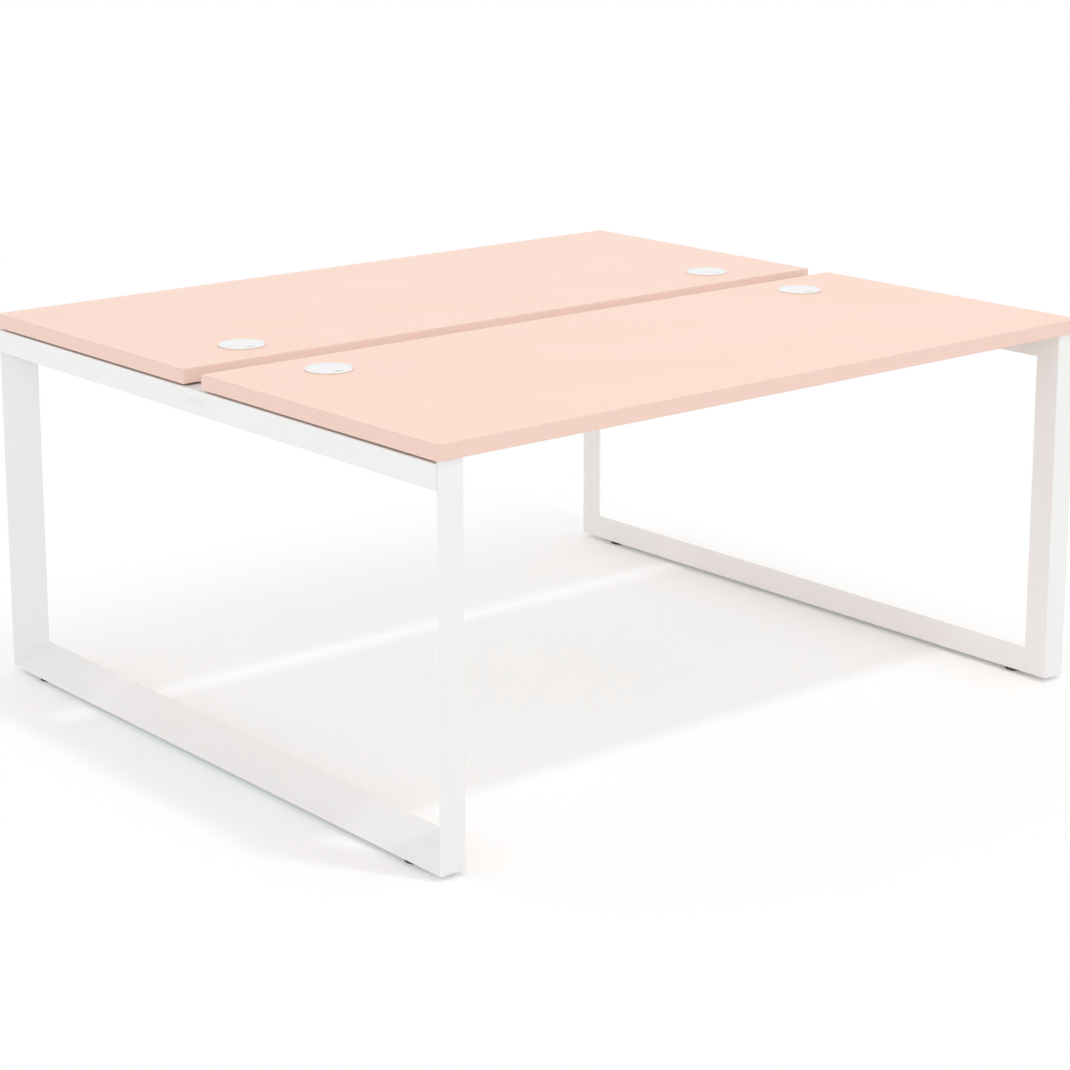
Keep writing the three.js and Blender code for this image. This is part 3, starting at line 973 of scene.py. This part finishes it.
@dataclass
class Grommet:
    """A cable grommet: the liner pressed into the board and the notched lid that turns in it."""

    paints: Paints
    row: Row
    side: Side
    segments: int = 128
    flange_height: float = 3 * MM
    flange_rebate: float = 0.6 * MM
    rim_height: float = 1.6 * MM
    rim_width: float = 1.6 * MM
    rim_tuck: Point = (1.2 * MM, 1.4 * MM)
    flange_radius: float = 44 * MM
    recess_radius: float = 38.3 * MM
    recess_round: float = 0.4 * MM
    ledge_radius: float = 32.2 * MM
    ledge_thickness: float = 2.5 * MM
    sleeve_outer: float = 39.7 * MM
    sleeve_inner: float = 37.2 * MM
    sleeve_depth: float = 20 * MM
    sleeve_lead: float = 0.6 * MM
    web_half_width: float = 15 * MM
    web_outer: float = 34.7 * MM
    web_inner: float = 19 * MM
    web_corner: float = 3 * MM
    lid_radius: float = 38 * MM
    lid_bottom: float = 0.2 * MM
    lid_top: float = 2.8 * MM
    lid_round: float = 0.4 * MM
    notch_half_width: float = 10.6 * MM
    notch_centre: float = 34 * MM
    notch_steps: int = 32
    lid_steps: int = 160
    round_steps: int = 4

    @property
    def label(self) -> str:
        """The grommet's words in node names."""
        return quarter(self.row, self.side)

    @property
    def liner_node(self) -> str:
        """The liner's node."""
        return f"{self.label}_grommet_liner"

    @property
    def face(self) -> float:
        """The height of the worktop's face."""
        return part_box(self.liner_node)[1].z - self.flange_height

    def build(self) -> None:
        """Builds the liner and the lid."""
        plastic = self.paints[Skin.GROMMET_PLASTIC]
        liner = self.build_liner()
        hand_over(liner, "desk", plastic, [self.liner_node])
        lid = self.build_lid()
        hand_over(lid, f"{self.label}_lid", plastic, [f"{self.label}_grommet_lid"])

    def build_liner(self) -> Object:
        """The flanged sleeve, with the ledge under the lid and the web that shuts the notch.

        Returns:
            The liner.
        """
        face = self.face
        top = face + self.flange_height
        rim_centre = (self.flange_radius - self.rim_width, face + self.rim_height)
        rim_radii = (self.rim_width, self.flange_height - self.rim_height)
        tuck_centre = (self.flange_radius - self.rim_tuck[0], face + self.rim_tuck[1])
        recess_centre = (self.recess_radius + self.recess_round, top - self.recess_round)
        profile = [
            (self.ledge_radius, face),
            (self.recess_radius, face),
            *arc(recess_centre, (self.recess_round, self.recess_round), 180, 90, self.round_steps),
            *arc(rim_centre, rim_radii, 90, 0, 3 * self.round_steps),
            *arc(tuck_centre, self.rim_tuck, 0, -90, 2 * self.round_steps),
            (tuck_centre[0], face - self.flange_rebate),
            (self.sleeve_outer, face - self.flange_rebate),
            (self.sleeve_outer, face - self.sleeve_depth + self.sleeve_lead),
            (self.sleeve_outer - self.sleeve_lead, face - self.sleeve_depth),
            (self.sleeve_inner + self.sleeve_lead / 2, face - self.sleeve_depth),
            (self.sleeve_inner, face - self.sleeve_depth + self.sleeve_lead / 2),
            (self.sleeve_inner, face - self.ledge_thickness),
            (self.ledge_radius, face - self.ledge_thickness),
        ]
        x, y = axis_of(self.liner_node)
        liner = linked(turned(f"{self.label}_grommet_ring", profile, self.segments, (x, y), ring=True))
        plan = rounded_rectangle(
            (x - self.web_half_width, y - self.web_outer),
            (x + self.web_half_width, y - self.web_inner),
            self.web_corner,
        )
        web = stacked("grommet_web", levels(plan, (face - self.ledge_thickness, face)))
        combine(liner, web, Combine.JOIN)
        soften(liner.data)
        return liner

    def lid_outline(self, inset: float, height: float) -> list[Place]:
        """The lid's outline at one height, drawn in from its full size.

        Args:
            inset: how far it is drawn in.
            height: the height.

        Returns:
            The outline's points.
        """
        x, y = axis_of(self.liner_node)
        radius = self.lid_radius - inset
        half = self.notch_half_width + inset
        mouth = math.degrees(math.asin(half / radius))
        disc = arc((x, y), (radius, radius), mouth - 90, 270 - mouth, self.lid_steps)
        notch = arc((x, y - self.notch_centre), (half, half), 180, 0, self.notch_steps)
        return [(u, v, height) for u, v in [*disc, *notch]]

    def build_lid(self) -> Object:
        """The disc with its cable notch, rounded along every edge.

        Returns:
            The lid.
        """
        low, high = self.face + self.lid_bottom, self.face + self.lid_top
        size = self.lid_round
        under = arc((size, low + size), (size, size), 270, 180, self.round_steps)
        over = arc((size, high - size), (size, size), 180, 90, self.round_steps)
        layers = [self.lid_outline(inset, height) for inset, height in [*under, *over]]
        lid = linked(stacked(f"{self.label}_grommet_cap", layers))
        soften(lid.data)
        return lid


@dataclass
class LevellingFoot:
    """A levelling foot: a fluted base that slides down and the threaded spindle that turns in it."""

    paints: Paints
    rules: ShapeRules
    row: Row
    side: Side
    base_radius: float = 19 * MM
    base_top: float = 7.2 * MM
    base_toe: float = 0.8 * MM
    base_shoulder: float = 2.4 * MM
    toe_steps: int = 4
    shoulder_steps: int = 8
    socket_radius: float = 5.3 * MM
    socket_floor: float = 2.5 * MM
    socket_lead: float = 0.3 * MM
    flutes: int = 24
    flute_depth: float = 0.5 * MM
    flute_rows: int = 8
    flats_per_flute: int = 8
    spindle_radius: float = 5 * MM
    spindle_low: float = 2.8 * MM
    thread_low: float = 7.4 * MM
    thread_pitch: float = 1.5 * MM
    thread_depth: float = 0.92 * MM
    thread_step: float = 0.125 * MM
    spindle_chamfer: float = 1 * MM
    spindle_flats: int = 48

    @property
    def label(self) -> str:
        """The foot's words in node names, and its base's body."""
        return f"{quarter(self.row, self.side)}_foot"

    def build(self) -> None:
        """Builds the base and the spindle, and dresses the bush that stays."""
        plastic, zinc = self.paints[Skin.FOOT_PLASTIC], self.paints[Skin.ZINC]
        hand_over(self.build_base(plastic), self.label, plastic, [f"{self.label}_base"])
        spindle_body = f"{quarter(self.row, self.side)}_spindle"
        hand_over(self.build_spindle(zinc), spindle_body, zinc, [f"{self.label}_spindle"])
        dress_node(f"{self.label}_bush", zinc)

    def build_base(self, finish: Material) -> Object:
        """The moulded base with grip flutes round its side.

        Args:
            finish: its material.

        Returns:
            The base.
        """
        toe, shoulder = self.base_toe, self.base_shoulder
        side_high = self.base_top - shoulder
        wall = spaced(toe, side_high, self.flute_rows)[1:-1]
        toe_centre = (self.base_radius - toe, toe)
        shoulder_centre = (self.base_radius - shoulder, side_high)
        profile = [
            (0.0, 0.0),
            *arc(toe_centre, (toe, toe), 270, 360, self.toe_steps),
            *((self.base_radius, z) for z in wall),
            *arc(shoulder_centre, (shoulder, shoulder), 0, 90, self.shoulder_steps),
            (self.socket_radius + self.socket_lead, self.base_top),
            (self.socket_radius, self.base_top - self.socket_lead),
            (self.socket_radius, self.socket_floor),
            (0.0, self.socket_floor),
        ]
        x, y = axis_of(f"{self.label}_base")
        flats = self.flutes * self.flats_per_flute
        base = linked(turned(f"{self.label}_fluted_base", profile, flats, (x, y)))
        self.rules.apply(
            base,
            self.rules.wrapped_cut,
            axis=(x, y, 0.0),
            turns=float(self.flutes),
            rise=0.0,
            depth=self.flute_depth,
            low=toe / 2,
            high=side_high + shoulder / 2,
            fade=toe,
            inside=self.base_radius - shoulder,
            finish=finish,
        )
        soften(base.data, SHARP_CUT)
        return base

    def build_spindle(self, finish: Material) -> Object:
        """The spindle, plain in its socket and threaded above it.

        Args:
            finish: its material.

        Returns:
            The spindle.
        """
        node = f"{self.label}_spindle"
        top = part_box(node)[1].z
        thread_high = top - self.spindle_chamfer
        rows = thread_rows(self.thread_low, thread_high, self.thread_step)
        profile = [
            (0.0, self.spindle_low),
            (self.spindle_radius, self.spindle_low),
            *((self.spindle_radius, z) for z in rows),
            (self.spindle_radius - self.spindle_chamfer, top),
            (0.0, top),
        ]
        x, y = axis_of(node)
        spindle = linked(turned(f"{self.label}_threaded_spindle", profile, self.spindle_flats, (x, y)))
        self.rules.apply(
            spindle,
            self.rules.wrapped_cut,
            axis=(x, y, 0.0),
            turns=-1.0,
            rise=1 / self.thread_pitch,
            depth=self.thread_depth,
            low=self.thread_low,
            high=top,
            fade=self.thread_pitch / 2,
            inside=self.spindle_radius - self.spindle_chamfer / 2,
            finish=finish,
        )
        soften(spindle.data, SHARP_CUT)
        return spindle


@dataclass
class Underframe:
    """What ties the hoops and tops together: beams, end plates, spacer strips, bolts and screws."""

    paints: Paints
    rules: ShapeRules
    bolt_sides: int = 6
    bolt_flats: float = 13 * MM
    bolt_head: float = 5.3 * MM
    bolt_radius: float = 4 * MM
    bolt_length: float = 15 * MM
    bolt_crown_radius: float = 6.1 * MM
    bolt_crown_drop: float = 0.9 * MM
    bolt_tip: float = 0.8 * MM
    screw_head_radius: float = 6 * MM
    screw_head_height: float = 4 * MM
    screw_head_round: float = 2 * MM
    screw_head_steps: int = 6
    screw_radius: float = 3 * MM
    screw_tip: float = 5 * MM
    screw_pitch: float = 2.5 * MM
    screw_thread_depth: float = 0.7 * MM
    screw_thread_start: float = 3 * MM
    screw_thread_step: float = 0.25 * MM
    recess_depth: float = 2.2 * MM
    recess_arm: float = 2.6 * MM
    recess_width: float = 1.1 * MM
    recess_taper: float = 0.7
    cut_margin: float = 1 * MM
    pin_flats: int = 32

    def dress(self) -> None:
        """Dresses the beams, plates and strips."""
        for row in Row:
            dress_node(f"{row.label}_beam", self.paints[Skin.FRAME_PAINT])
            for side in Side:
                dress_node(f"{row.label}_beam_{side.label}_plate", self.paints[Skin.FRAME_PAINT])
                dress_node(f"{row.label}_top_{side.label}_spacer", self.paints[Skin.SPACER_PLASTIC])

    def build(self) -> None:
        """Sets a bolt and a screw at each of their places."""
        bolts = {
            f"{row.label}_beam_{side.label}_{order}_bolt": side
            for row, side in QUARTERS
            for order in FIXING_ORDER
        }
        spots = [self.bolt_spot(node, side) for node, side in bolts.items()]
        self.set_out("beam_bolts", self.bolt(), spots, list(bolts))
        screws = [
            f"{row.label}_top_{side.label}_{order}_screw"
            for row, side in QUARTERS
            for order in FIXING_ORDER
        ]
        low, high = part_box(screws[0])
        spots = [(Vector((*axis_of(node), low.z)), Vector((0.0, 0.0, 0.0))) for node in screws]
        self.set_out("top_screws", self.screw(high.z - low.z), spots, screws)

    def bolt_spot(self, node: str, side: Side) -> tuple[Vector, Vector]:
        """Where the underside of a bolt's head lies, and the turn that points its shank outwards.

        Args:
            node: the bolt's node.
            side: the hoop that it goes into.

        Returns:
            The place and the turn.
        """
        low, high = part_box(node)
        middle = (low + high) / 2
        face = high.x - self.bolt_length if side is Side.RIGHT else low.x + self.bolt_length
        return Vector((face, middle.y, middle.z)), Vector((0.0, side.value * math.pi / 2, 0.0))

    def set_out(
        self, name: str, fixing: Object, spots: Sequence[tuple[Vector, Vector]], nodes: Sequence[str]
    ) -> None:
        """Sets one fixing at many places, as one piece.

        Args:
            name: the piece's name.
            fixing: the fixing at the origin, which is removed afterwards.
            spots: places and turns.
            nodes: the nodes that the piece stands for.
        """
        mesh = bpy.data.meshes.new(name)
        mesh.from_pydata([place for place, _ in spots], [], [])
        aim = mesh.attributes.new("aim", "FLOAT_VECTOR", "POINT")
        for item, (_, turn) in zip(aim.data, spots):
            item.vector = turn
        zinc = self.paints[Skin.ZINC]
        piece = linked(mesh)
        self.rules.apply(piece, self.rules.set_fixings, fixing=fixing, finish=zinc)
        bpy.data.objects.remove(fixing)
        soften(piece.data)
        hand_over(piece, "desk", zinc, nodes)

    def bolt(self) -> Object:
        """A six-sided bolt along +Z, with the underside of its crowned head at the origin.

        Returns:
            The bolt.
        """
        sides, margin = self.bolt_sides, self.cut_margin
        corner = self.bolt_flats / 2 / math.cos(math.pi / sides)
        plan = arc((0.0, 0.0), (corner, corner), 0, 360 - 360 / sides, sides - 1)
        bolt = linked(stacked("bolt_blank", levels(plan, (-self.bolt_head, 0.0))))
        crown = [
            (0.0, -self.bolt_head),
            (self.bolt_crown_radius, -self.bolt_head),
            (corner + margin, -self.bolt_head + self.bolt_crown_drop * 2),
            (corner + margin, margin),
            (0.0, margin),
        ]
        combine(bolt, turned("bolt_crown", crown, self.pin_flats * 2), Combine.KEEP_COMMON)
        shank = [
            (0.0, -self.bolt_head / 2),
            (self.bolt_radius, -self.bolt_head / 2),
            (self.bolt_radius, self.bolt_length - self.bolt_tip),
            (self.bolt_radius - self.bolt_tip, self.bolt_length),
            (0.0, self.bolt_length),
        ]
        combine(bolt, turned("bolt_shank", shank, self.pin_flats), Combine.JOIN)
        return bolt

    def screw(self, length: float) -> Object:
        """A round-headed wood screw along +Z, with the crown of its head at the origin.

        Args:
            length: from the crown to the tip.

        Returns:
            The screw.
        """
        size = self.screw_head_round
        shank_low = self.screw_head_height + self.screw_thread_start
        rows = thread_rows(shank_low, length - self.screw_tip, self.screw_thread_step)
        profile = [
            (0.0, 0.0),
            *arc((self.screw_head_radius - size, size), (size, size), 270, 360, self.screw_head_steps),
            (self.screw_head_radius, self.screw_head_height),
            (self.screw_radius, self.screw_head_height),
            *((self.screw_radius, z) for z in rows),
            (0.0, length),
        ]
        screw = linked(turned("screw_blank", profile, self.pin_flats))
        self.rules.apply(
            screw,
            self.rules.wrapped_cut,
            axis=(0.0, 0.0, 0.0),
            turns=-1.0,
            rise=1 / self.screw_pitch,
            depth=self.screw_thread_depth,
            low=shank_low,
            high=length,
            fade=self.screw_pitch,
            inside=self.screw_radius / 2,
            finish=self.paints[Skin.ZINC],
        )
        arm, half = self.recess_arm, self.recess_width / 2
        cross = [
            (arm, -half), (arm, half), (half, half), (half, arm), (-half, arm), (-half, half),
            (-arm, half), (-arm, -half), (-half, -half), (-half, -arm), (half, -arm), (half, -half),
        ]
        shares = ((-self.cut_margin, 1.0), (self.recess_depth, self.recess_taper))
        recess = stacked("screw_recess", [[(u * k, v * k, z) for u, v in cross] for z, k in shares])
        combine(screw, recess, Combine.CUT)
        return screw


@dataclass
class Badge:
    """The blank plate on the left hoop's top rail."""

    paints: Paints

    def dress(self) -> None:
        """Dresses the plate."""
        dress_node("badge_plate", self.paints[Skin.BADGE_PLASTIC])


# Studio


@dataclass(frozen=True)
class StudioCamera:
    """A camera at the photograph's viewing angle."""

    place: Place = (-3.2620, -3.8710, 1.7326)
    azimuth: float = 40.11
    pitch: float = 12.374
    focal_pixels: float = 2615.0
    image_pixels: float = 1070.0
    shift: float = -0.15
    sensor: float = 36.0
    clip_end: float = 300.0

    def build(self) -> None:
        """Adds the camera and makes it the scene's own."""
        lens = bpy.data.cameras.new("studio_camera")
        lens.sensor_fit = "HORIZONTAL"
        lens.sensor_width = self.sensor
        lens.lens = self.focal_pixels / self.image_pixels * self.sensor
        lens.shift_y = self.shift
        lens.clip_end = self.clip_end
        camera = bpy.data.objects.new("studio_camera", lens)
        camera.location = self.place
        camera.rotation_euler = (math.radians(90 - self.pitch), 0.0, -math.radians(self.azimuth))
        bpy.context.scene.collection.objects.link(camera)
        bpy.context.scene.camera = camera


@dataclass(frozen=True)
class Studio:
    """A white sweep of floor under one soft lamp and a sky of pale walls."""

    floor_radius: float = 60.0
    floor_segments: int = 96
    floor_bounce: Colour = (0.96, 0.96, 0.96, 1.0)
    floor_glow: float = 0.09
    floor_tone: Colour = (0.93, 0.945, 0.945, 1.0)
    # Cool tint painted into the floor's colour under the desk, cancelling the worktops' warm bounce
    # light; over the reach in metres from the middle it gives way to the plain floor tone
    floor_tone_below: Colour = (0.84, 0.947, 0.99, 1.0)
    tone_reach: Span = (0.2, 1.3)
    # Painted light: a mask fades the floor, with the desk's shadow, to plain white past a box round the
    # desk, centred this far along Y and fading over these spans across and along
    shadow_middle: float = -0.2
    fade_across: Span = (0.88, 1.06)
    fade_along: Span = (0.7, 1.48)
    sky_walls: float = 1.33
    sky_ceiling: float = 0.25
    sky_lean: Place = (-0.05, 0.06, 0.0)
    lamp_place: Place = (0.33, -2.685, 5.73)
    lamp_target: Place = (0.0, 0.0, 0.4)
    lamp_size: float = 0.38
    lamp_power: float = 48.0

    def build(self) -> None:
        """Adds the floor, the sky and the lamp."""
        bpy.context.scene.view_settings.view_transform = "Standard"
        self.build_floor()
        self.build_sky()
        self.build_lamp()

    @staticmethod
    def shown(tree: NodeTree, lighting: Node, showing: Node) -> NodeSocket:
        """Takes one shader where rays only light, and another where they show what they meet.

        Args:
            tree: the tree of both shaders.
            lighting: the shader that lights.
            showing: the shader that is seen.

        Returns:
            The mixed shader's socket.
        """
        path = put(tree, "ShaderNodeLightPath").outputs
        mirrored = sums(tree, "MAXIMUM", path["Is Glossy Ray"], path["Is Transmission Ray"])
        seen = sums(tree, "MAXIMUM", path["Is Camera Ray"], mirrored)
        inputs = {0: seen, 1: lighting.outputs[0], 2: showing.outputs[0]}
        return put(tree, "ShaderNodeMixShader", inputs).outputs[0]

    def build_floor(self) -> None:
        """A pale floor that shows white and keeps the desk's shadow, with painted light: a cool tint
        under the desk cancels the worktops' warm bounce, and a mask fades the shadow to white past a box
        round the desk.
        """
        disc = bmesh.new()
        bmesh.ops.create_circle(
            disc, cap_ends=True, segments=self.floor_segments, radius=self.floor_radius
        )
        floor = linked(finished_mesh("studio_floor", disc))
        material = bpy.data.materials.new("studio_floor")
        tree = cleared(material)
        bounce = put(tree, "ShaderNodeBsdfDiffuse", {"Color": self.floor_bounce})
        place = put(tree, "ShaderNodeTexCoord").outputs["Object"]
        # Painted light: under the desk the floor's colour is tinted cool to cancel the warm bounce from
        # the worktops
        painted_tint_fade = ramp(tree, measure(tree, "LENGTH", place), self.tone_reach)
        tone = mixed(tree, painted_tint_fade, self.floor_tone_below, self.floor_tone)
        shade = put(tree, "ShaderNodeBsdfDiffuse", {"Color": tone})
        glow = put(tree, "ShaderNodeEmission", {"Strength": self.floor_glow})
        near = put(tree, "ShaderNodeAddShader", {0: shade.outputs[0], 1: glow.outputs[0]})
        white = put(tree, "ShaderNodeEmission", {"Strength": 1.0})
        # Painted light: past a box round the desk the shadow is faded to white by a mask, not by the lamp
        across, along, _ = split(tree, place)
        across = sums(tree, "ABSOLUTE", across)
        along = sums(tree, "ABSOLUTE", sums(tree, "SUBTRACT", along, self.shadow_middle))
        painted_fade_to_white = sums(
            tree, "MAXIMUM", ramp(tree, across, self.fade_across), ramp(tree, along, self.fade_along)
        )
        seen = put(tree, "ShaderNodeMixShader", {0: painted_fade_to_white, 1: near.outputs[0], 2: white.outputs[0]})
        put(tree, "ShaderNodeOutputMaterial", {0: self.shown(tree, bounce, seen)})
        floor.data.materials.append(material)

    def build_sky(self) -> None:
        """A sky that shows white, brightest round the horizon and a little more behind and left."""
        world = bpy.data.worlds.new("studio_sky")
        tree = cleared(world)
        aim = put(tree, "ShaderNodeTexCoord").outputs["Generated"]
        height = split(tree, aim)[2]
        level = sums(tree, "SUBTRACT", 1.0, sums(tree, "MULTIPLY", height, height))
        strength = sums(tree, "MULTIPLY_ADD", level, self.sky_walls, self.sky_ceiling)
        lean = sums(tree, "ADD", measure(tree, "DOT_PRODUCT", aim, self.sky_lean), 1.0)
        strength = sums(tree, "MULTIPLY", strength, lean)
        light = put(tree, "ShaderNodeBackground", {"Color": WHITE, "Strength": strength})
        white = put(tree, "ShaderNodeBackground", {"Color": WHITE, "Strength": 1.0})
        put(tree, "ShaderNodeOutputWorld", {0: self.shown(tree, light, white)})
        bpy.context.scene.world = world

    def build_lamp(self) -> None:
        """The soft lamp above the front of the desk."""
        light = bpy.data.lights.new("key_lamp", "AREA")
        light.shape = "DISK"
        light.size = self.lamp_size
        light.energy = self.lamp_power
        lamp = bpy.data.objects.new("key_lamp", light)
        lamp.location = self.lamp_place
        aim = Vector(self.lamp_target) - Vector(self.lamp_place)
        lamp.rotation_euler = aim.to_track_quat("-Z", "Y").to_euler()
        bpy.context.scene.collection.objects.link(lamp)


def main() -> None:
    """Builds the studio, then each sub-assembly of the desk."""
    logging.basicConfig(level=logging.INFO, format="%(message)s")
    StudioCamera().build()
    Studio().build()
    paints = Paints()
    rules = ShapeRules()
    Worktops(paints).dress()
    hoops = Hoops(paints, rules)
    hoops.dress()
    hoops.build()
    for row, side in QUARTERS:
        Grommet(paints, row, side).build()
        LevellingFoot(paints, rules, row, side).build()
    underframe = Underframe(paints, rules)
    underframe.dress()
    underframe.build()
    Badge(paints).dress()


if __name__ == "__main__":
    main()
